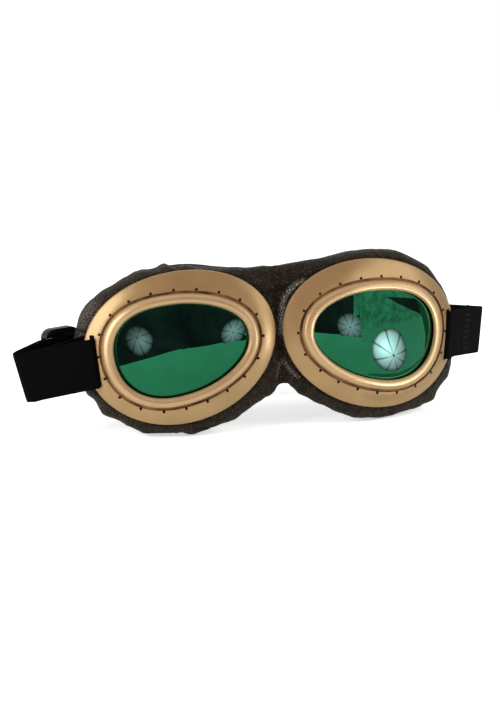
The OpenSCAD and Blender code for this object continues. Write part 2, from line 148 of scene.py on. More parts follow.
def curve_through(points, steps, closed=False):
    """A smooth line through points, which are pairs or vectors."""
    points = [Vector(p) for p in points]
    last = len(points) - 1
    out = []
    for i in range(last + 1 if closed else last):
        near = [points[(i + k) % (last + 1) if closed else max(0, min(last, i + k))]
                for k in (-1, 0, 1, 2)]
        out += [through(*near, k / steps) for k in range(steps)]
    return out if closed else out + [points[-1]]


# How far the leatherette stands out beyond each frame, every MARGIN_STEP degrees
MARGIN_STEP = 5
STANDS_OUT = {
    -1: [4.2, 3.7, 3.6, 3.8, 4.2, 4.3, 4, 4.9, 5, 4.5, 3.9, 3.9, 3, 2.7, 2.7, 2.6, 3.5, 2.8, 1.2,
         2.5, 0.8, 0.8, 0.7, 0.3, 0.3, 0.4, 1.7, 3.6, 5.2, 6.4, 9.9, 13.4, 15.9, 16.9, 16.4, 14.4,
         12.1, 9.9, 8.5, 8, 8.8, 11.8, 15.6, 16.4, 15.1, 13.9, 12.9, 11.7, 10.4, 9.2, 9.1, 9.3, 8.4,
         8.1, 8.4, 8.3, 8.4, 6, 6.2, 6.2, 6.8, 7.8, 6.3, 5.7, 4.9, 6, 7.9, 5.8, 4.6, 5.1, 5, 4.6],
    1: [4.5, 3.6, 3, 2.5, 2.8, 3.8, 1.2, 1.4, 1.9, 2, 2.1, 2.7, 3.8, 3.7, 4, 3.8, 4.1, 4.6, 4, 3.5,
         3.5, 3.1, 3.2, 3.3, 2.8, 3.1, 3.6, 5.1, 6.5, 8.2, 10.7, 13.9, 14.7, 14.9, 13.5, 11.6, 8.3,
         5.3, 4.5, 4.4, 4.8, 5, 7.2, 9, 10.1, 10.1, 9.5, 7.8, 8, 7.7, 7.7, 6.8, 7.4, 7.2, 7.7, 8,
         7.3, 7.6, 7.4, 7.3, 6.8, 7.3, 7.9, 8.5, 10.2, 11, 8.2, 8.2, 8, 7.4, 6.7, 5.6]}


def margin(t, side):
    """How far the leatherette stands out beyond the frame."""
    row = STANDS_OUT[side]
    k = math.floor(t / MARGIN_STEP)
    return through(*(row[(k + i) % len(row)] for i in (-1, 0, 1, 2)), t / MARGIN_STEP - k)


# Mesh building
def follow(bm, edges, points, slot):
    """Extrudes a closed loop of edges once, onto the next ring of points."""
    ring = {v: v.index for e in edges for v in e.verts}
    made = bmesh.ops.extrude_edge_only(bm, edges=edges)["geom"]
    for v in made:
        if isinstance(v, bmesh.types.BMVert):
            old = next(e.other_vert(v) for e in v.link_edges if e.other_vert(v) in ring)
            v.index = ring[old]
            v.co = points[ring[old]]
        elif isinstance(v, bmesh.types.BMFace):
            v.material_index = slot
    return [e for e in made if isinstance(e, bmesh.types.BMEdge)
            and all(v not in ring for v in e.verts)]


def skin(rings, ends, second=()):
    """Skins closed rings of points. ends is loop or caps; second lists the spans that
    take the piece's second material."""
    bm = bmesh.new()
    start = bmesh.ops.create_circle(bm, segments=len(rings[0]), radius=1)["verts"]
    for i, v in enumerate(start):
        v.index, v.co = i, rings[0][i]
    first = edges = list({e for v in start for e in v.link_edges})
    for i, ring in enumerate(rings[1:] + ([rings[0]] if ends == "loop" else [])):
        edges = follow(bm, edges, ring, int(i in second))
    if ends == "caps":
        for loop in (first, edges):
            bmesh.ops.contextual_create(bm, geom=loop)
    bmesh.ops.remove_doubles(bm, verts=bm.verts[:], dist=WELD)
    bmesh.ops.recalc_face_normals(bm, faces=bm.faces[:])
    return bm


def smoothed(mesh, sharp):
    """Smooth shading, with edges sharper than the given degrees kept."""
    mesh.shade_smooth()
    mesh.set_sharp_from_angle(angle=math.radians(sharp))


def piece(name, bm, *materials, sharp=40):
    mesh = bpy.data.meshes.new(name)
    bm.to_mesh(mesh)
    bm.free()
    made = bpy.data.objects.new(name, mesh)
    bpy.context.scene.collection.objects.link(made)
    for material in materials:
        mesh.materials.append(material)
    smoothed(mesh, sharp)
    return made


def joined(name, bms, *materials):
    """One object from several bmeshes."""
    whole = bmesh.new()
    for bm in bms:
        part = bpy.data.meshes.new("part")
        bm.to_mesh(part)
        bm.free()
        whole.from_mesh(part)
        bpy.data.meshes.remove(part)
    return piece(name, whole, *materials)


def modifier(made, kind, **settings):
    new = made.modifiers.new(kind.lower(), kind)
    for key, value in settings.items():
        setattr(new, key, value)


def applied(made):
    """Bakes an object's modifiers into its mesh."""
    graph = bpy.context.evaluated_depsgraph_get()
    mesh = bpy.data.meshes.new_from_object(made.evaluated_get(graph), depsgraph=graph)
    made.modifiers.clear()
    made.data = mesh


def cut(made, cutter, **settings):
    modifier(made, "BOOLEAN", object=cutter, operation="DIFFERENCE", solver="EXACT", **settings)
    applied(made)
    bpy.data.objects.remove(cutter)


def around(side, profile, steps=EYE_STEPS):
    """Rings across the profile: one ring of points for each point of the profile."""
    rows = [profile(360 * i / steps) for i in range(steps)]
    return [[place(side, *rows[i][j]) for i in range(steps)] for j in range(len(rows[0]))]


def turned(angle, axis):
    return Matrix.Rotation(math.radians(angle), 3, axis)


def rotate(bm, matrix):
    bmesh.ops.rotate(bm, verts=bm.verts, matrix=matrix)


def move(bm, vec):
    bmesh.ops.translate(bm, verts=bm.verts, vec=vec)


def block(low, high):
    bm = bmesh.new()
    bmesh.ops.create_cube(bm, size=1)
    low, high = Vector(low) * MM, Vector(high) * MM
    bmesh.ops.scale(bm, vec=high - low, verts=bm.verts)
    move(bm, (low + high) / 2)
    return bm


def eased(bm, edges, radius):
    bmesh.ops.bevel(bm, geom=edges, offset=radius * MM, affect="EDGES", segments=3, profile=0.5,
                    material=-1)


def lengthways(bm):
    """The edges that run from front to back."""
    return [e for e in bm.edges if abs((e.verts[0].co - e.verts[1].co).y) > MM]


def cleared(bm, at, facing):
    """Cuts the mesh at a plane and clears away what lies on the side that it faces."""
    bmesh.ops.bisect_plane(bm, geom=bm.verts[:] + bm.edges[:] + bm.faces[:], plane_co=at,
                           plane_no=facing, clear_outer=True)


# Materials
def linear(code):
    """An sRGB hex colour as linear light."""
    parts = [int(code[i:i + 2], 16) / 255 for i in (0, 2, 4)]
    light = [c / 12.92 if c <= 0.04045 else ((c + 0.055) / 1.055) ** 2.4 for c in parts]
    return (*light, 1.0)


def add(tree, kind, sockets=(), stops=(), **settings):
    """Adds a node, sets its properties and its colour stops, and fills or links its input
    sockets. A node given for a socket links its first output."""
    made = tree.nodes.new("ShaderNode" + kind)
    for key, value in settings.items():
        setattr(made, key, value)
    for key, value in dict(sockets).items():
        if isinstance(value, bpy.types.Node):
            value = value.outputs[0]
        if isinstance(value, bpy.types.NodeSocket):
            tree.links.new(value, made.inputs[key])
        else:
            made.inputs[key].default_value = value
    if stops:
        elements = made.color_ramp.elements
        while len(elements) < len(stops):
            elements.new(0.5)
        for element, (at, colour) in zip(elements, stops):
            element.position, element.color = at, colour
    return made


def surface(name):
    material = bpy.data.materials.new(name)
    material.use_nodes = True
    tree = material.node_tree
    tree.nodes.clear()
    return material, tree, add(tree, "TexCoord").outputs["Object"]


def finish(tree, sockets):
    add(tree, "OutputMaterial", {"Surface": add(tree, "BsdfPrincipled", sockets)})


def metallic_paint(name, colour, shade, roughness):
    """Satin metallic paint sprayed on moulded ABS: warm and even, with clouds of tone
    about 20 mm across and the mould's waviness of 6 mm showing in the highlights. Its
    flake is far finer than the 0.4 mm it is drawn at so that it shows."""
    material, tree, where = surface(name)
    clouds = add(tree, "TexNoise", {"Vector": where, "Scale": 45.0, "Detail": 3.0})
    flake = add(tree, "TexNoise", {"Vector": where, "Scale": 2400.0, "Detail": 2.0})
    waves = add(tree, "TexNoise", {"Vector": where, "Scale": 160.0, "Detail": 1.0})
    tone = add(tree, "ValToRGB", {"Fac": clouds}, [(0.3, linear(shade)), (0.7, linear(colour))])
    flakes = add(tree, "Bump", {"Height": flake, "Strength": 0.10, "Distance": 0.1 * MM})
    relief = add(tree, "Bump", {"Height": waves, "Strength": 0.12, "Distance": 0.4 * MM,
                                "Normal": flakes})
    dullness = add(tree, "MapRange", {"Value": flake, "To Min": roughness - 0.05,
                                      "To Max": roughness + 0.07})
    finish(tree, {"Base Color": tone, "Metallic": 0.55, "Roughness": dullness, "Normal": relief,
                  "Coat Weight": 0.4, "Coat Roughness": 0.28})
    return material


def recess_colour_and_shade(name, dark, light):
    """Colour for the mould's recesses: flat, dull and uneven, in patches about 8 mm long.
    Its darkness is painted shade of the recess, laid over the red-brown that the groove
    has of its own."""
    material, tree, where = surface(name)
    patches = add(tree, "TexNoise", {"Vector": where, "Scale": 120.0, "Detail": 4.0})
    tone = add(tree, "ValToRGB", {"Fac": patches}, [(0.35, linear(dark)), (0.65, linear(light))])
    finish(tree, {"Base Color": tone, "Roughness": 0.6, "Metallic": 0.1})
    return material


def leatherette():
    """PVC leatherette over foam: embossed pebble grain, semi-gloss on the tops of the grain,
    dull in the hollows between them, worn paler along its convex folds. The hollows of the
    grain are darkened as painted shade, and a painted highlight lies on the grain's tops
    along the listed ridges. The real grain is about 0.9 mm across, and is drawn at 1.5 mm
    so that it shows. A point attribute holds how strong that painted highlight is."""
    material, tree, where = surface("pvc_leatherette")
    warp = add(tree, "TexNoise", {"Vector": where, "Scale": 700.0, "Detail": 2.0}).outputs["Color"]
    bent = add(tree, "MixRGB", {"Fac": 0.0006, "Color1": where, "Color2": warp}, blend_type="ADD")
    cells = add(tree, "TexVoronoi", {"Vector": bent, "Scale": 660.0}, feature="DISTANCE_TO_EDGE")
    pebble = add(tree, "MapRange", {"Value": cells, "From Max": 0.32})
    # The hollows between the pebbles are darkened towards 0a0705: painted shade
    valley_shade = add(tree, "MapRange", {"Value": pebble, "To Min": 0.75, "To Max": 0.0})
    specks = add(tree, "TexNoise", {"Vector": where, "Scale": 900.0, "Detail": 1.0})
    flecks = add(tree, "MapRange", {"Value": specks, "From Min": 0.58, "From Max": 0.72,
                                    "To Max": 0.45})
    ridge = add(tree, "Attribute", attribute_name="painted_highlight").outputs["Fac"]
    # A painted highlight on the tops of the grain along the listed ridges
    tops = add(tree, "Math", {0: ridge, 1: pebble}, operation="MULTIPLY")
    convex = add(tree, "Math", {0: add(tree, "NewGeometry").outputs["Pointiness"], 1: 0.5},
                 operation="SUBTRACT")
    worn = add(tree, "Math", {0: convex, 1: 9.0}, operation="MULTIPLY", use_clamp=True)
    clouds = add(tree, "TexNoise", {"Vector": where, "Scale": 60.0, "Detail": 3.0})
    tone = add(tree, "ValToRGB", {"Fac": clouds},
               [(0.3, linear("0f0c09")), (0.7, linear("1c160f"))])
    # Among these, the near-black in the grain's hollows is painted shade and the pale a59f96 on the
    # grain's tops along the ridges a painted highlight
    for share, code in ((valley_shade, "0a0705"), (flecks, "57493b"), (tops, "a59f96"),
                        (worn, "40362d")):
        tone = add(tree, "MixRGB", {"Fac": share, "Color1": tone, "Color2": linear(code)})
    creases = add(tree, "TexNoise", {"Vector": where, "Scale": 170.0, "Detail": 6.0,
                                     "Roughness": 0.62})
    grain = add(tree, "Bump", {"Height": pebble, "Strength": 0.9, "Distance": 0.6 * MM})
    relief = add(tree, "Bump", {"Height": creases, "Strength": 0.6, "Distance": 1.4 * MM,
                                "Normal": grain})
    dullness = add(tree, "MapRange", {"Value": pebble, "To Min": 0.5, "To Max": 0.28})
    finish(tree, {"Base Color": tone, "Roughness": dullness, "Normal": relief,
                  "Specular IOR Level": 0.35, "Specular Tint": linear("e0cfae")})
    return material


def mirror_tint():
    """Emerald polycarbonate with a vacuum-deposited mirror coat: it reflects the room
    in green and shows next to nothing behind it. The moulding is wavy over 11 mm."""
    material, tree, where = surface("mirror_tinted_polycarbonate")
    haze = add(tree, "TexNoise", {"Vector": where, "Scale": 90.0, "Detail": 2.0})
    ripple = add(tree, "Bump", {"Height": haze, "Strength": 0.02, "Distance": 0.4 * MM})
    tone = add(tree, "ValToRGB", {"Fac": haze}, [(0.2, linear("066540")), (0.8, linear("0a7049"))])
    finish(tree, {"Base Color": tone, "Metallic": 1.0, "Roughness": 0.0, "Normal": ripple,
                  "Coat Weight": 0.4, "Coat Roughness": 0.0, "Coat IOR": 1.5})
    return material


WARP_PITCH, WEFT_PITCH = 0.9, 0.7


def woven_elastic():
    """Woven polyester elastic: fine warp ribs along the band, crossed by the weft. The
    attributes along and across hold each point's place on the band in millimetres."""
    material, tree, where = surface("woven_elastic")
    ribs = []
    for way, pitch in (("across", WARP_PITCH), ("along", WEFT_PITCH)):
        value = add(tree, "Attribute", attribute_name=way).outputs["Fac"]
        turn = add(tree, "Math", {0: value, 1: 2 * math.pi / pitch}, operation="MULTIPLY")
        ribs.append(add(tree, "Math", {0: turn}, operation="SINE"))
    weave = add(tree, "Math", {0: ribs[0], 1: 0.6, 2: ribs[1]}, operation="MULTIPLY_ADD")
    fuzz = add(tree, "TexNoise", {"Vector": where, "Scale": 900.0, "Detail": 3.0})
    threads = add(tree, "Bump", {"Height": weave, "Strength": 0.45, "Distance": 0.25 * MM})
    relief = add(tree, "Bump", {"Height": fuzz, "Strength": 0.3, "Distance": 0.3 * MM,
                                "Normal": threads})
    # Darker where the weave lies low: painted shade between the threads
    height = add(tree, "MapRange", {"Value": weave, "To Min": 0.3, "To Max": 0.7})
    tone = add(tree, "ValToRGB", {"Fac": height},
               [(0.1, linear("020202")), (0.9, linear("080808"))])
    finish(tree, {"Base Color": tone, "Roughness": 0.9, "Normal": relief, "Sheen Weight": 0.01,
                  "Sheen Roughness": 0.5, "Specular IOR Level": 0.05})
    return material


def simple(name, dark, light, roughness, scale, bump_mm, metallic=0.0, coat=0.0):
    """A plain finish with a slight, real-sized variation of tone and surface."""
    material, tree, where = surface(name)
    grain = add(tree, "TexNoise", {"Vector": where, "Scale": scale, "Detail": 4.0})
    tone = add(tree, "ValToRGB", {"Fac": grain}, [(0.3, linear(dark)), (0.7, linear(light))])
    relief = add(tree, "Bump", {"Height": grain, "Strength": 0.3, "Distance": bump_mm * MM})
    dullness = add(tree, "MapRange", {"Value": grain, "To Min": roughness - 0.05,
                                      "To Max": roughness + 0.05})
    finish(tree, {"Base Color": tone, "Metallic": metallic, "Normal": relief,
                  "Roughness": dullness, "Coat Weight": coat, "Coat Roughness": 0.05})
    return material


# Injection-moulded ABS, sprayed: the flange is a deeper bronze than the rim
flange_paint = metallic_paint("bronze_gold_paint", "b29262", "a68758", 0.36)
rim_paint = metallic_paint("pale_gold_paint", "c9a97b", "bf9e70", 0.34)
# The groove takes a red-brown colour darkened with painted shade, and the stitch marks a
# near-black painted shade
groove_colour_and_shade = recess_colour_and_shade("groove_colour_and_painted_shade", "5c341b", "a8743f")
mark_painted_shade = recess_colour_and_shade("stitch_mark_painted_shade", "140a06", "2a160c")
leather = leatherette()
lens_mirror = mirror_tint()
elastic = woven_elastic()
# Gloss-moulded polypropylene, with a faint flow mark in the highlight
slider_gloss = simple("gloss_polypropylene", "040404", "080808", 0.3, 60, 0.05, coat=0.1)
# Moulded nitrile rubber, dull black
gasket_rubber = simple("nitrile_rubber", "0b0b0b", "141414", 0.7, 900, 0.05)
# Spark-eroded mould texture on black ABS, drawn at 0.6 mm so that it shows
clamp_abs = simple("textured_abs", "131313", "1d1d1d", 0.55, 1600, 0.04)
# Zinc-plated screw steel
screw_zinc = simple("zinc_plated_steel", "8f9092", "a9aaac", 0.32, 1200, 0.02, metallic=1.0)
# Brushed nylon facing on foam, a short pile about 0.5 mm deep
foam_cloth = simple("brushed_nylon_foam", "1c1c1e", "2c2c2f", 0.95, 1300, 0.4)
# Bonded polyester sewing thread
thread = simple("polyester_thread", "060606", "0e0e0e", 0.7, 2500, 0.05)


# Camera
camera_data = bpy.data.cameras.new("camera")
camera_data.lens = 70.6
camera_data.sensor_width = 36
camera_data.clip_start = 0.01
camera = bpy.data.objects.new("camera", camera_data)
bpy.context.scene.collection.objects.link(camera)
camera.location = (-0.1436, -0.6712, 0.1368)
camera.rotation_euler = (turned(-10.74, "Z") @ turned(90 - 11.85, "X")
                         @ turned(-2.17, "Z")).to_euler()
bpy.context.scene.camera = camera


# Frames, rims, lenses
# Depths of the plate's inner ring and of the lens seat in it
RING_BACK = 6.4
LENS_SEAT = 3.75
RING_FRONT = 2.25
# The plate's section, as shares of the way over the flange: with the depth there for
# the groove's wall, and the depth behind the flange's face for the rest
GROOVE_WALL = [(-0.003, RING_FRONT), (0, 1.3), (0.005, 1.02)]
FLANGE = [(share, 0) for share in (0.02, 0.12, 0.25, 0.4, 0.55, 0.7, 0.82, 0.92, 0.965)] + [
    (0.99, 0.14), (1, 0.45), (1, 1.1), (0.98, 1.75), (0.93, 2.08), (0.4, 2.1), (0.06, 2.1)]
# The spans of the sections that take the groove's red-brown colour and its painted shade:
# the groove on the plate and the outer foot of the bead
PLATE_GROOVE_SPANS = range(3, 6)
RIM_GROOVE_SPANS = range(31, 36)
MARK_COUNT = 20
MARK_PHASE = 0.35
MARK_SIZE = (2.6, 4, 1.35)
# Strap slot: centre in x and z, lean in degrees, width, height and depth of the cutter
SLOT = (91.79, -6.13)
SLOT_LEAN = 5
SLOT_SIZE = (2.3, 26.5, 40)


def frame_profile(t):
    return ([(beside(t, SEAT_IN), RING_BACK), (beside(t, SEAT_IN), LENS_SEAT),
             (beside(t, SEAT_OUT), LENS_SEAT), (beside(t, SEAT_OUT), RING_FRONT)]
            + [(across(t, share), depth) for share, depth in GROOVE_WALL]
            + [(across(t, share), flange_depth(share) + back) for share, back in FLANGE]
            + [(beside(t, GROOVE_OUT + 0.1), RING_BACK)])


def mark_angles():
    """Angles that space the stitch marks evenly along the groove."""
    step = 2
    line = [beside(t, RIM_W + 0.4) for t in range(0, 361, step)]
    lengths = [0.0]
    for a, b in zip(line, line[1:]):
        lengths.append(lengths[-1] + (b - a).length)
    angles = []
    for i in range(MARK_COUNT):
        want = lengths[-1] * (i + MARK_PHASE) / MARK_COUNT
        k = max(j for j in range(len(lengths) - 1) if lengths[j] <= want)
        angles.append(step * (k + (want - lengths[k]) / (lengths[k + 1] - lengths[k])))
    return angles


def mark_cutter(side, t):
    """A small notch across the groove, with its ends rounded."""
    bm = bmesh.new()
    bmesh.ops.create_cube(bm, size=1)
    bmesh.ops.scale(bm, vec=[size * MM for size in MARK_SIZE], verts=bm.verts)
    eased(bm, lengthways(bm), 0.42)
    out = outward(opening, t)
    rotate(bm, Matrix.Rotation(-side * math.atan2(out.y, out.x), 3, "Y"))
    move(bm, place(side, across(t, 0.01), 0.0))
    return bm


def slot_cutter(side):
    width, height, deep = SLOT_SIZE
    bm = block((-width / 2, 0, -height / 2), (width / 2, deep, height / 2))
    eased(bm, lengthways(bm), 0.5)
    rotate(bm, turned(side * SLOT_LEAN, "Y"))
    move(bm, (side * SLOT[0] * MM, 0, SLOT[1] * MM))
    return bm


def eye_frame(side, word):
    made = piece("frame_plate_" + word, skin(around(side, frame_profile), "loop", PLATE_GROOVE_SPANS),
                 flange_paint, groove_colour_and_shade)
    # The notches are coloured near-black: painted shade in them
    marks = joined("marks", [mark_cutter(side, t) for t in mark_angles()], mark_painted_shade)
    for cutter in (marks, piece("slot", slot_cutter(side), flange_paint)):
        cut(made, cutter, material_mode="TRANSFER")
    smoothed(made.data, 38)
    modifier(made, "WEIGHTED_NORMAL", keep_sharp=True)
    applied(made)
    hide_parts("frame_" + word)
    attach(made, word + "_half")


# Bead of the rim: the depths of its foot and of its lip over the lens, its height,
# and its section as shares of its width and height
RIM_FOOT = 2.1
RIM_LIP = 0.9
RIM_HEIGHT = 4
RIM_SHAPE = [(0, 0.58), (0.015, 0.48), (0.06, 0.36), (0.16, 0.18), (0.3, 0.05), (0.46, 0),
             (0.66, 0.06), (0.83, 0.24), (0.94, 0.5), (0.99, 0.78), (1.0, 0.98)]


def rim_profile(t):
    """The bead, with the rebate in its foot over the lens and the gasket."""
    width = RIM_W * narrowed(t)
    return ([(beside(t, SEAT_OUT), RIM_FOOT), (beside(t, SEAT_OUT), RIM_LIP),
             (beside(t, 0.3), RIM_LIP), (beside(t, 0.06), RIM_LIP - 0.1)]
            + [(beside(t, q.x * width), RIM_FOOT - (1 - q.y) * RIM_HEIGHT)
               for q in curve_through(RIM_SHAPE, 3)]
            + [(beside(t, 0.98 * width), RIM_FOOT)])


# Lens: depth of its front's edge, thickness, rise of its dome, and how far the dome
# and the land round it reach beyond the opening
LENS_FRONT = 1.65
LENS_T = 1.95
LENS_DOME = 3.5
DOME_OUT, LAND_OUT = 0.2, 2.55


def lens_rings(side, steps=150, rows=12):
    def ring(share, depth):
        return [place(side, share * beside(360 * i / steps, DOME_OUT),
                      depth - LENS_DOME * (1 - share * share)) for i in range(steps)]

    def land(depth):
        return [place(side, beside(360 * i / steps, LAND_OUT), depth) for i in range(steps)]

    back = LENS_FRONT + LENS_T
    # The caps close tiny rings, and a ring close to the last keeps the dome's foot crisp
    shares = [max(k, 0.02) / rows for k in range(rows)] + [0.992, 1]
    return ([ring(share, LENS_FRONT) for share in shares] + [land(LENS_FRONT), land(back)]
            + [ring(share, back) for share in reversed(shares)])


def eye(side, word):
    body = word + "_half"
    eye_frame(side, word)
    rim = piece("rim_bead_" + word, skin(around(side, rim_profile), "loop", RIM_GROOVE_SPANS),
                rim_paint, groove_colour_and_shade)
    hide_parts("lens_rim_" + word)
    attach(rim, body)
    lens = piece("tinted_lens_" + word, skin(lens_rings(side), "caps"), lens_mirror)
    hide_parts("lens_" + word)
    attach(lens, body)
    for node, material in (("lens_gasket_", gasket_rubber), ("clamp_ring_", clamp_abs),
                           ("clamp_screws_", screw_zinc)):
        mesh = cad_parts[node + word].data
        mesh.materials.clear()
        mesh.materials.append(material)


# Leatherette
CUP_IN = 7.5
# Where each half ends in x: the left one reaches well into the right one
SEAM_X = {-1: 8, 1: -0.3}
BAR_IN = (92.94, 16.33)
BAR_ANGLE = 47.7


def cup_profile(side):
    def profile(t):
        m, rim = margin(t, side), flange_depth(1)
        lip = [(across(t, share), flange_depth(share) + back)
               for share, back in ((0.12, 2.6), (0.55, 2.6), (0.97, 2.5))]
        roll = [(beyond(t, share * m), rim + back)
                for share, back in ((0.3, 1.9), (0.72, 3.5), (0.9, 5.2), (0.98, 7.0))]
        wall = [(beyond(t, share * m), deep * CUP_DEPTH)
                for share, deep in ((1, 0.7), (0.94, 0.88), (0.62, 0.98))]
        return ([(beside(t, CUP_IN), 7.0)] + lip + roll + wall
                + [(across(t, 0.65), CUP_DEPTH - 0.1), (across(t, 0.15), 0.955 * CUP_DEPTH),
                   (beside(t, CUP_IN), 0.8 * CUP_DEPTH)])
    return profile


def half_cup(side):
    bm = skin(around(side, cup_profile(side), 200), "loop")
    cleared(bm, (SEAM_X[side] * MM, 0, 0), (-side, 0, 0))
    bmesh.ops.holes_fill(bm, edges=[e for e in bm.edges if e.is_boundary])
    bmesh.ops.recalc_face_normals(bm, faces=bm.faces[:])
    return bm


def nose_wedge():
    """The wedge that opens towards the face for the nose."""
    bm = bmesh.new()
    corners = [bm.verts.new(Vector(c) * MM) for c in
               ((-1.5, 0, -300), (1.5, 0, -300), (39.5, 40, -300), (-39.5, 40, -300))]
    face = bm.faces.new(corners)
    made = bmesh.ops.extrude_face_region(bm, geom=[face])["geom"]
    bmesh.ops.translate(bm, verts=[v for v in made if isinstance(v, bmesh.types.BMVert)],
                        vec=(0, 0, 600 * MM))
    rotate(bm, turned(-3.5, "X"))
    move(bm, (0, 13 * MM, 0))
    bmesh.ops.recalc_face_normals(bm, faces=bm.faces[:])
    return bm


def strap_channel(side):
    """Room behind the frame's bar for the doubled elastic."""
    bm = block((-1.2, -20, -14.2), (60, 5.7, 14.2))
    rotate(bm, turned(BAR_ANGLE, "Z"))
    move(bm, (BAR_IN[0] * MM, BAR_IN[1] * MM, SLOT[1] * MM))
    if side < 0:
        bmesh.ops.scale(bm, vec=(-1, 1, 1), verts=bm.verts)
        bmesh.ops.recalc_face_normals(bm, faces=bm.faces[:])
    return bm


# Folds of the leatherette, each a ridge (height above 0) or crease (below 0):
# side, then the ends x, z beyond the eye's centre, half width and height
FOLDS = [
    (-1, 5.3, 30, 5.5, 44, 2.2, 0.9), (-1, -4.5, 30, -4.7, 44, 2.4, 0.9),
    (-1, 0.4, 32, 0.5, 44, 0.9, -0.9), (-1, 19, 36, 23, 45, 2.5, 0.5),
    (-1, 33, 30, 40, 36, 2.5, 0.6), (-1, 42, 22, 50, 26, 3.0, 0.6),
    (-1, 36, -32, 44, -40, 2.2, -0.9), (-1, 28, -36, 33, -46, 2.4, 0.9),
    (-1, 17, -39, 19, -49, 2.6, -0.8), (-1, 4, -40, 3, -50, 3.0, 0.7),
    (-1, -8, -39, -12, -48, 2.4, -0.7), (-1, 44, -24, 53, -30, 2.2, 0.8),
    (-1, -26, -31, -34, -36, 2.2, 0.6), (-1, -36, -22, -44, -30, 1.6, -0.8),
    (1, 8, 38, 9, 48, 3.0, 0.5), (1, 27, 34, 31, 42, 2.4, -0.6), (1, 38, 27, 45, 32, 2.4, 0.7),
    (1, 43, -20, 54, -24, 1.7, -1.0), (1, 41, -28, 50, -34, 2.0, 1.0),
    (1, 34, -34, 42, -43, 1.8, -1.0), (1, 24, -38, 28, -47, 2.5, 0.7),
    (1, 8, -40, 8, -50, 2.4, -0.6), (1, -6, -39, -9, -49, 3.0, 0.6),
    (1, -24, -33, -33, -41, 2.0, -0.8), (1, -33, -26, -44, -33, 1.6, 0.9),
    (1, -38, -18, -47, -27, 1.3, -1.0), (-1, -45, 30, -47, -20, 1.6, 0.7),
    (1, -46, 34, -44, -22, 1.7, 0.8), (1, -49.5, 30, -49.5, -26, 1.1, -0.8),
    (1, -30, 34, -47, 24, 2.2, -0.5), (-1, -30, 33, -46, 27, 2.2, 0.5),
    (1, -40, 30, -48, 12, 1.8, 0.6)]
# Lines where the leatherette stands in a ridge that carries a painted highlight: half width,
# height, strength of the painted highlight, then the x, z points
HIGHLIT_RIDGES = [
    (0.8, 1.3, 0.9, (13.1, 29.1), (9.5, 27.3), (6.4, 24.4), (3.7, 20.5), (2.1, 15.5), (1.6, 9.8),
     (1.4, 3.6)),
    (0.6, 1.0, 0.8, (1.9, -10.8), (3.7, -13.9), (6.1, -16.6), (9.3, -20.1)),
    (0.5, 0.8, 0.6, (0.4, -12), (-0.6, -15), (-1.6, -18.2)),
    (2.2, 0.2, 0.35, (-90.8, 21.6), (-93.3, 18), (-95.2, 14.3), (-96.1, 8.8), (-96.5, 2.7))]


def to_line(p, a, b):
    """Distance from p to the line from a to b, and how far along it."""
    way = b - a
    w = clamped((p - a).dot(way) / way.length_squared)
    return (p - a - w * way).length, w


def ridges(x, z):
    """Height of the ridge at x, z, and the strength of its painted highlight."""
    height = highlight_share = 0.0
    for width, tall, highlight_strength, *line in HIGHLIT_RIDGES:
        line = [Vector(p) for p in line]
        d = min(to_line(Vector((x, z)), a, b)[0] for a, b in zip(line, line[1:]))
        if d < 4 * width:
            share = hill(d, width)
            height, highlight_share = height + tall * share, max(highlight_share, highlight_strength * share)
    return height, highlight_share


def fold_height(x, z):
    """Height of the folds at x, z. Each starts low at the frame and grows outwards."""
    total = 0.0
    for side, x0, z0, x1, z1, width, height in FOLDS:
        a = Vector((side * (x0 + EYE_X), z0))
        d, w = to_line(Vector((x, z)), a, Vector((side * (x1 + EYE_X), z1)))
        if d < 3.5 * width:
            total += height * hill(d, width) * (0.45 + 0.55 * w)
    return total


def bridge_sag(x, z):
    """The bridge's top is drawn up and its foot hangs lower, a little left of the middle."""
    return (1.4 * math.exp(-((x + 2) / 7) ** 2) * clamped((z - 12) / 8)
            - 2.4 * math.exp(-((x + 2) / 4.5) ** 2) * clamped((-14 - z) / 8))


def wrinkled(made):
    """Sculpts the folds, gathers and soft dents into the leatherette."""
    mesh = made.data
    before = [(v.co.copy(), v.normal.copy()) for v in mesh.vertices]
    painted_highlight = mesh.attributes.new("painted_highlight", "FLOAT", "POINT").data
    for v, (co, normal) in zip(mesh.vertices, before):
        x, y, z = co / MM
        side = 1 if x > 0 else -1
        out = abs(x) - EYE_X
        angle = math.degrees(math.atan2(z, out))
        depth = y - wrap(out)
        # Nothing moves next to the frame, and no fold reaches the back edge
        shows = clamped((depth - 2.5) / 2.0)
        back = clamped((CUP_DEPTH - 1.0 - depth) / 3.0)
        gathers = noise.noise(Vector((angle * 0.085 + 11 * side, depth * 0.06, side * 3.1)))
        dents = (noise.noise(Vector((x, y, z)) * 0.34) * 0.22
                 + noise.noise(Vector((x, y, z)) * 0.9) * 0.07)
        ridge, highlight_share = ridges(x, z)
        # A painted highlight along the listed ridges, only where they face the front
        painted_highlight[v.index].value = highlight_share * clamped(-3 * normal.y)
        rise = ((fold_height(x, z) + gathers * 0.6) * shows * back
                + (dents + ridge * back) * shows)
        # It lies flatter where it rests on the floor
        if z < FLOOR_Z + 3:
            rise = min(rise, 0.0) * 0.3
        v.co = co + (normal * rise + Vector((0, 0, bridge_sag(x, z)))) * MM
        if v.co.z < FLOOR_Z * MM:
            v.co.z = FLOOR_Z * MM
    mesh.update()


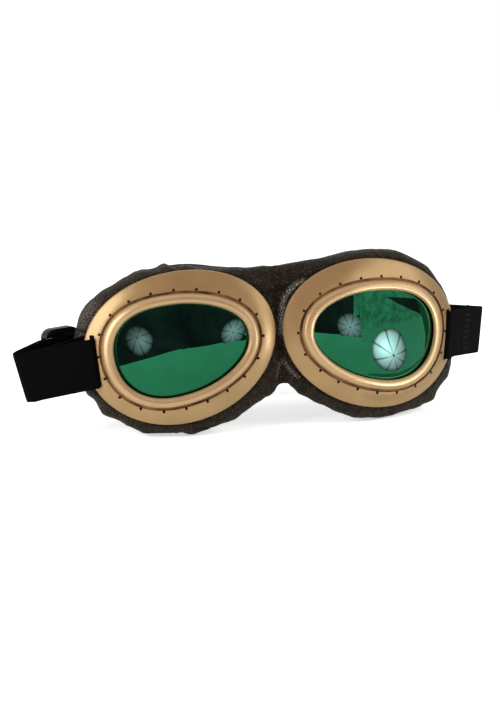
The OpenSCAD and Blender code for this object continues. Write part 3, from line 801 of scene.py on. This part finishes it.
def bridge_smoothed(made):
    """Draws the leatherette taut over the seam between the cups."""
    bm = bmesh.new()
    bm.from_mesh(made.data)
    everywhere = -99
    for reach, lowest, rounds in ((26, 14, 30), (9, everywhere, 12), (5, everywhere, 24)):
        near = [v for v in bm.verts if abs(v.co.x) < reach * MM and v.co.z > lowest * MM]
        for _ in range(rounds):
            bmesh.ops.smooth_vert(bm, verts=near, factor=0.5, use_axis_x=True, use_axis_y=True,
                                  use_axis_z=True)
    bm.to_mesh(made.data)
    bm.free()


def eye_mask():
    """The padded leatherette of both cups and the soft bridge between them, in one."""
    halves = []
    for side in (1, -1):
        half = piece("half", half_cup(side))
        for cutter in (nose_wedge(), strap_channel(side),
                       block((-300, -300, -400), (300, 300, FLOOR_Z))):
            cut(half, piece("cutter", cutter), use_self=True)
        halves.append(bmesh.new())
        halves[-1].from_mesh(half.data)
        bpy.data.objects.remove(half)
    made = joined("leatherette_mask", halves)
    modifier(made, "REMESH", mode="VOXEL", voxel_size=1.0 * MM, use_smooth_shade=True)
    modifier(made, "SMOOTH", factor=0.5, iterations=6)
    applied(made)
    bridge_smoothed(made)
    wrinkled(made)
    made.data.materials.append(leather)
    made.data.shade_smooth()
    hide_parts("mask_left", "mask_right", "nose_bridge")
    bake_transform(made)


# Face pads
PAD_GAP = 0.45
PAD_T = 3.2
# The pads leave the nose free: they start this far from the middle
PAD_FROM_X = 19.5
PAD_END_ROWS = 3


def pad_profile(side):
    def profile(t):
        m, front = min(margin(t, 1), margin(t, side)), CUP_DEPTH + PAD_GAP
        corners = [(*across(t, 0.32), front), (*beyond(t, 0.4 * m), front),
                   (*beyond(t, 0.44 * m), front + 1.9), (*across(t, 0.93), front + PAD_T),
                   (*across(t, 0.52), front + PAD_T), (*across(t, 0.3), front + 1.9)]
        return [(Vector((x, z)), depth) for x, z, depth in curve_through(corners, 3, closed=True)]
    return profile


def face_pad(side, word):
    """A foam strip round the back of a cup, open across the nose, with rounded ends."""
    profile = pad_profile(side)
    rows = [profile(t) for t in range(-180, 181, 2) if edge(t).x * 0.85 + EYE_X > PAD_FROM_X]
    rings = []
    for k, row in enumerate(rows):
        near = min(k, len(rows) - 1 - k)
        size = math.sqrt(max(0.02, 1 - (1 - min(near / PAD_END_ROWS, 1)) ** 2))
        points = [place(side, *q) for q in row]
        middle = sum(points, Vector()) / len(points)
        rings.append([middle.lerp(p, size) for p in points])
    made = piece("foam_pad_" + word, skin(rings, "caps"), foam_cloth, sharp=80)
    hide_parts("face_pad_" + word)
    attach(made, word + "_half")


# Elastic strap
STRAP_W = 25.4
STRAP_T = 1.12
# The selvedge gets thinner over its last part of a millimetre
SELVEDGE = 0.8
STRAP_COLUMNS = 16
# Corners of the elastic's way: x, y, z, lean of its top in x per mm, corner radius
STRAP_WAY = [
    (108.996, 33.396, -7, 0.0875, 0), (103.545, 27.540, -6.6, 0.0875, 4),
    (95.368, 24.279, -6.13, 0.0875, 1.5), (91.788, 20.344, -6.13, 0.0875, 1),
    (91.788, 13.955, -6.13, 0.0875, 1), (98.400, 20.033, -6.13, 0.0875, 6),
    (121.788, 45.155, -10.6, 0.105, 2.4), (91.788, 57.155, -8.5, 0.06, 40), (46, 67, -6, 0.02, 60),
    (-48.301, 67, -8.6, 0, 30), (-64.301, 65.089, -9.4, 0, 20), (-93.438, 49.597, -9.7, 0, 0),
    (-118.161, 36.452, -10, 0, 0), (-132.288, 28.940, -15.2, -0.25, 3.2),
    (-91.788, 13.955, -6.13, -0.0875, 1), (-91.788, 17.150, -6.13, -0.0875, 0)]
TAIL_WAY = [
    (-91.788, 17.170, -6.13, -0.0875, 0), (-91.788, 20.344, -6.13, -0.0875, 1),
    (-95.368, 24.279, -6.13, -0.0875, 1.5), (-113.913, 23.848, -11, -0.18, 12),
    (-128.386, 29.203, -15.2, -0.25, 1.85), (-117.503, 35.216, -9.95, 0, 0),
    (-104.283, 42.302, -9.7, 0, 1.4), (-102.968, 39.829, -9.7, 0, 1.4),
    (-108.266, 37.013, -9.7, 0, 2), (-111.548, 36.796, -9.7, 0, 2),
    (-119.495, 32.571, -10.6, -0.03, 0)]


def rounded_way(way, steps=10, longest=2.5):
    """The way with its corners rounded and its long runs divided."""
    def flat(a, b):
        return Vector((b[0] - a[0], b[1] - a[1]))

    rows = [Vector(way[0][:4])]
    for a, b, c in zip(way, way[1:], way[2:]):
        before, corner, after = (Vector(p[:4]) for p in (a, b, c))
        if b[4] == 0:
            rows.append(corner)
            continue
        inwards, onwards = flat(b, a), flat(b, c)
        half = math.acos(max(-1, min(1, inwards.normalized().dot(onwards.normalized())))) / 2
        reach = min(b[4] / math.tan(max(half, math.radians(1))), 0.48 * inwards.length,
                    0.48 * onwards.length)
        start = corner.lerp(before, reach / inwards.length)
        end = corner.lerp(after, reach / onwards.length)
        for i in range(steps + 1):
            w = i / steps
            rows.append(start.lerp(corner, w).lerp(corner.lerp(end, w), w))
    rows.append(Vector(way[-1][:4]))
    dense = [rows[0]]
    for a, b in zip(rows, rows[1:]):
        gap = flat(a, b).length
        if gap < 0.01:
            continue
        count = max(1, math.ceil(gap / longest))
        dense += [a.lerp(b, (k + 1) / count) for k in range(count)]
    return dense


def lowered(p):
    """How much lower the left front run lies, growing towards its slot."""
    return 0.8 * clamped((p.x + 140) / 48) if p.x < -88 and p.y < 30 else 0.0


def band(name, way):
    """Flat elastic with soft selvedges, and each point's place along and across it."""
    line = rounded_way(way)
    half = STRAP_W / 2
    columns = [(-half + 0.05 + (STRAP_W - 0.1) * k / STRAP_COLUMNS)
               for k in range(STRAP_COLUMNS + 1)]
    section = [(c, 1) for c in columns] + [(c, -1) for c in reversed(columns)]
    rings, lengths, total = [], [], 0.0
    for i, p in enumerate(line):
        a, b = line[max(i - 1, 0)], line[min(i + 1, len(line) - 1)]
        ahead = Vector((b.x - a.x, b.y - a.y)).normalized()
        out = Vector((ahead.y, -ahead.x, 0))
        total += 0 if i == 0 else (Vector(p[:3]) - Vector(line[i - 1][:3])).length
        lengths.append(total)
        ring = []
        for c, face in section:
            inside = min(half - abs(c), SELVEDGE) / SELVEDGE
            thick = STRAP_T / 2 * (0.55 + 0.45 * math.sqrt(max(inside, 0)))
            ring.append((Vector((p.x + c * p[3], p.y, p.z + c - lowered(p)))
                         + out * face * thick) * MM)
        rings.append(ring)
    bm = skin(rings, "caps")

    def micron(point):
        return tuple(round(q, 6) for q in point)

    places = {}
    for length, ring in zip(lengths, rings):
        for (c, face), point in zip(section, ring):
            places[micron(point)] = (length, c)
    along, across_band = (bm.verts.layers.float.new(word) for word in ("along", "across"))
    for v in bm.verts:
        v[along], v[across_band] = places.get(micron(v.co), (0.0, 0.0))
    made = piece(name, bm, elastic, sharp=60)
    return made


STITCH_PITCH, ROW_PITCH = 3, 2.5
# The right front run, which carries the stitches: where it starts, its direction in
# x and y, the lean of its top and its fall per mm
RUN_START = (98.4, 20.033, -6.13)
RUN_X, RUN_Y, RUN_LEAN, RUN_FALL = 0.6814, 0.7319, 0.0875, 4.47 / 34.3


def thread_rows():
    """Lock stitches that hold the doubled right end, three rows of seven."""
    bms = []
    for row in range(3):
        for i in range(7):
            bm = bmesh.new()
            bmesh.ops.create_uvsphere(bm, u_segments=8, v_segments=6, radius=1)
            bmesh.ops.scale(bm, vec=(0.3 * MM, 0.3 * MM, 1.0 * MM), verts=bm.verts)
            run, up, out = 10 + ROW_PITCH * row, (i - 3) * STITCH_PITCH, 0.6
            move(bm, Vector((RUN_START[0] + run * RUN_X + out * RUN_Y + up * RUN_LEAN,
                             RUN_START[1] + run * RUN_Y - out * RUN_X,
                             RUN_START[2] - run * RUN_FALL + up)) * MM)
            bms.append(bm)
    return joined("lock_stitches", bms, thread)


def strap():
    loop = band("elastic_band", STRAP_WAY)
    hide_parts("strap")
    stitches = thread_rows()
    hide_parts("strap_stitches")
    for made in (loop, stitches):
        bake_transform(made)
    tail = band("elastic_doubled_end", TAIL_WAY)
    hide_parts("adjuster_tail")
    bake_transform(tail)


def slider():
    """The three-bar slider, its edges eased as a moulded part's are."""
    bm = bmesh.new()
    bm.from_mesh(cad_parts["slider"].data)
    bmesh.ops.remove_doubles(bm, verts=bm.verts[:], dist=WELD)
    bmesh.ops.dissolve_limit(bm, angle_limit=math.radians(2), verts=bm.verts[:], edges=bm.edges[:])
    eased(bm, [e for e in bm.edges
               if len(e.link_faces) == 2 and e.calc_face_angle() > math.radians(50)], 0.28)
    made = piece("three_bar_slider", bm, slider_gloss)
    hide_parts("slider")
    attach(made, "slider")


# Studio
def grey(value):
    return (value, value, value, 1)


def studio_floor():
    """A plain white floor that keeps the object's shadow."""
    material, tree, _ = surface("white_floor")
    matt = add(tree, "BsdfDiffuse", {"Color": grey(0.86)})
    lift = add(tree, "Emission", {"Color": grey(1), "Strength": 0.56})
    seen = add(tree, "AddShader", {0: matt, 1: lift})
    camera_ray = add(tree, "LightPath").outputs["Is Camera Ray"]
    mixed = add(tree, "MixShader", {0: camera_ray, 1: matt, 2: seen})
    add(tree, "OutputMaterial", {"Surface": mixed})
    bm = bmesh.new()
    bmesh.ops.create_grid(bm, x_segments=1, y_segments=1, size=4)
    move(bm, (0, 0, (FLOOR_Z - 0.02) * MM))
    piece("floor", bm, material)


def reflection_only(made):
    """A card that shows in reflections alone."""
    made.visible_camera = made.visible_diffuse = made.visible_shadow = False
    made.visible_transmission = made.visible_volume_scatter = False


def seen_in_mirrors(tree, sharp, soft):
    """Emission of the first colour in clear reflections, and the second in dull ones."""
    clear = add(tree, "LightPath").outputs["Is Singular Ray"]
    mixed = add(tree, "MixRGB", {"Fac": clear, "Color1": soft, "Color2": sharp})
    add(tree, "OutputMaterial",
        {"Surface": add(tree, "Emission", {"Color": mixed, "Strength": 1.0})})


def card(name, corners, dark, light, patch_mm, soft=None):
    """A card whose brightness runs from dark to light in soft patches. soft is its
    brightness in dull reflections, where that differs."""
    material, tree, where = surface(name)
    cloud = add(tree, "TexNoise", {"Vector": where, "Scale": 1000 / patch_mm, "Detail": 4.0,
                                   "Roughness": 0.6})
    tone = add(tree, "ValToRGB", {"Fac": cloud}, [(0.35, dark), (0.65, light)])
    seen_in_mirrors(tree, tone, grey(soft) if soft else tone)
    bm = bmesh.new()
    bm.faces.new([bm.verts.new(Vector(c) * MM) for c in corners])
    reflection_only(piece(name, bm, material))


def umbrella_light(tree, tint, gain, soft, hub):
    """An umbrella's lit inside, on a disc of radius 1: eight dark ribs that meet at its
    hub, and brightest across from there."""
    disc = add(tree, "UVMap", uv_map="disc")
    parts = add(tree, "SeparateXYZ", {0: disc}).outputs[:2]
    from_hub = [add(tree, "Math", {0: part, 1: shift}, operation="SUBTRACT")
                for part, shift in zip(parts, hub)]
    lit = [add(tree, "Math", {0: part, 1: 0.7 * shift}, operation="ADD")
           for part, shift in zip(parts, hub)]
    angle = add(tree, "Math", {0: from_hub[1], 1: from_hub[0]}, operation="ARCTAN2")
    turns = add(tree, "Math", {0: angle, 1: 4.0}, operation="MULTIPLY")
    ribs = add(tree, "Math", {0: add(tree, "Math", {0: turns}, operation="COSINE")},
               operation="ABSOLUTE")
    light = add(tree, "ValToRGB", {"Fac": ribs}, [(0.0, grey(0.2)), (0.38, grey(1))])
    # Brightness by the distance from the lit spot, from the middle and from the hub
    for pair, stops in ((lit, ((0.0, 1.0), (0.35, 0.7), (0.75, 0.36), (1, 0.2))),
                        (parts, ((0.8, 1), (1.0, 0.12))), (from_hub, ((0.02, 0.03), (0.1, 1)))):
        flat = add(tree, "CombineXYZ", dict(enumerate(pair)))
        apart = add(tree, "VectorMath", {0: flat}, operation="LENGTH").outputs["Value"]
        layer = add(tree, "ValToRGB", {"Fac": apart}, [(at, grey(v)) for at, v in stops])
        light = add(tree, "MixRGB", {"Fac": 1.0, "Color1": light, "Color2": layer},
                    blend_type="MULTIPLY")
    seen_in_mirrors(tree, *(add(tree, "VectorMath", {0: light, 1: colour}, operation="MULTIPLY")
                            for colour in ([gain * c for c in tint], [soft] * 3)))


def umbrella(name, centre, towards, radius, tint, gain, soft, hub=(0.0, 0.0), foot=-80):
    """A lit studio umbrella, seen a little from one side. Below foot, the table hides it."""
    material, tree, _ = surface(name)
    umbrella_light(tree, tint, gain, soft, hub)
    bm = bmesh.new()
    bmesh.ops.create_circle(bm, segments=64, radius=radius * MM, cap_ends=True)
    uv = bm.loops.layers.uv.new("disc")
    for face in bm.faces:
        for loop in face.loops:
            loop[uv].uv = loop.vert.co.xy / (radius * MM)
    centre, towards = Vector(centre) * MM, Vector(towards) * MM
    rotate(bm, (towards - centre).to_track_quat("Z", "Y").to_matrix())
    move(bm, centre)
    cleared(bm, (0, 0, foot * MM), (0, 0, -1))
    reflection_only(piece(name, bm, material))


def lamp(name, at, aim, size, watts):
    data = bpy.data.lights.new(name, "AREA")
    data.shape, data.size, data.energy = "DISK", size, watts
    made = bpy.data.objects.new(name, data)
    bpy.context.scene.collection.objects.link(made)
    made.location = Vector(at) * MM
    made.rotation_euler = (Vector(aim) - Vector(at)).to_track_quat("-Z", "Y").to_euler()
    made.visible_glossy = False


def world_light(strength):
    """Even light all round, with a white backdrop."""
    world = bpy.data.worlds.new("studio")
    world.use_nodes = True
    tree = world.node_tree
    tree.nodes.clear()
    camera_ray = add(tree, "LightPath").outputs["Is Camera Ray"]
    soft, white = (add(tree, "Background", {"Color": grey(1), "Strength": value})
                   for value in (strength, 1.0))
    seen = add(tree, "MixShader", {0: camera_ray, 1: soft, 2: white})
    add(tree, "OutputWorld", {"Surface": seen})
    bpy.context.scene.world = world


def seen_from(x, z, azimuth, elevation, distance):
    """A point seen from a place on the lenses: azimuth 0 is straight ahead of the goggles."""
    a, e = math.radians(azimuth), math.radians(elevation)
    return (x + distance * math.sin(a) * math.cos(e), -distance * math.cos(a) * math.cos(e),
            z + distance * math.sin(e))


DARK, DIM = (0.1, 0.035, 0.055, 1), (0.25, 0.09, 0.14, 1)
LIT, PALE = (grey(0.45), grey(1.05)), (grey(0.85), grey(0.95))
PINK = (1.15, 0.26, 0.5)
WALL = [(-620, 30), (-330, -190), (-180, -300), (0, -330), (150, -330), (320, -310)]
WALL_TOP = 600
TABLE_END = [(-192, -40), (-186, -78), (-182, -97), (-167, -142), (-140, -197), (-102, -240),
             (-50, -250), (0, -247), (45, -246), (75, -230), (100, -200), (125, -165),
             (165, -170), (220, -330)]
SHADE = [(263, -33), (175, -12), (122, -16), (93, -19), (63, -28), (50, -26), (52, -8), (90, 2),
         (130, 10), (263, 25)]


def dark_studio():
    """The dark studio in front of the left lens, with the end of the table before it."""
    for i, ((x0, y0), (x1, y1)) in enumerate(zip(WALL, WALL[1:])):
        card("dark_studio_%d" % i, [(x0, y0, -47), (x1, y1, -47), (x1, y1, WALL_TOP),
                                    (x0, y0, WALL_TOP)], DARK, DIM, 150)
    line = [(p.x, p.y) for p in curve_through(TABLE_END, 6)]
    card("table_end", [(x, y, -46.6) for x, y in line + WALL[4::-1]], DARK, DIM, 150)


def bright_room():
    """The lit side of the room, to the right, with a dark beam in it and its dark corner.
    Its cards stand further off the further round they are."""
    def at(azimuth, elevation):
        return seen_from(EYE_X, 0, azimuth, elevation, 52 + 1.6 * azimuth)

    turn = 6
    for a in range(0, 84, turn):
        rows = [(-20, -3, PALE), (-3, 45, LIT)] if a > 11 else [(15, 50, LIT)]
        for low, high, tones in rows:
            corners = [at(a, low), at(a + turn, low), at(a + turn, high), at(a, high)]
            card("bright_room_%d_%d" % (a, high), corners, *tones, 12, 1.6)
    card("dark_corner", [(147, -21, 23), (152, -15, -1), (154, -8, -22), (151, -7, -39),
                         (150, 40, -45), (150, 40, 60), (148, -10, 45)],
         grey(0.16), grey(0.26), 40)
    card("dark_beam", [(109, -53, 39), (147, -21, 23), (152, -15, 1), (142, -29, 10),
                       (125, -45, 25)], DARK, DIM, 40, 1.6)


def studio():
    bpy.context.scene.view_settings.view_transform = "Standard"
    world_light(0.55)
    studio_floor()
    lamp("left_lamp", (-900, -350, 520), (-50, 0, 0), 0.5, 9)
    lamp("right_lamp", (900, -500, 560), (50, 0, 0), 0.5, 7)
    dark_studio()
    bright_room()
    # The goggles' own shade on the table, at the foot of the right lens
    card("shade", [(x, y, -46.8) for x, y in SHADE], grey(0.4), grey(0.5), 40)
    card("bright_left", [seen_from(-EYE_X - 30, 0, a, e, 220)
                         for a, e in ((-64, -10), (-64, 35), (-105, 35), (-105, -10))],
         *LIT, 60, 4.0)
    umbrella("umbrella_left", seen_from(-62, 0, -46, -3, 185), (-62, 0, 0), 37, PINK, 6.0, 2.0,
             (0.2, 0.13))
    umbrella("umbrella_middle", (66, -159, -6), (5, 0, 3), 41, PINK, 8.0, 1.5, (0, -0.05), -36)
    umbrella("umbrella_right", seen_from(56, -9, 44, -20, 48), (56, 0, -9), 22.5, PINK, 32, 14.0,
             (-0.28, -0.2))


# Build
for side, word in ((1, "right"), (-1, "left")):
    eye(side, word)
    face_pad(side, word)
eye_mask()
strap()
slider()
studio()
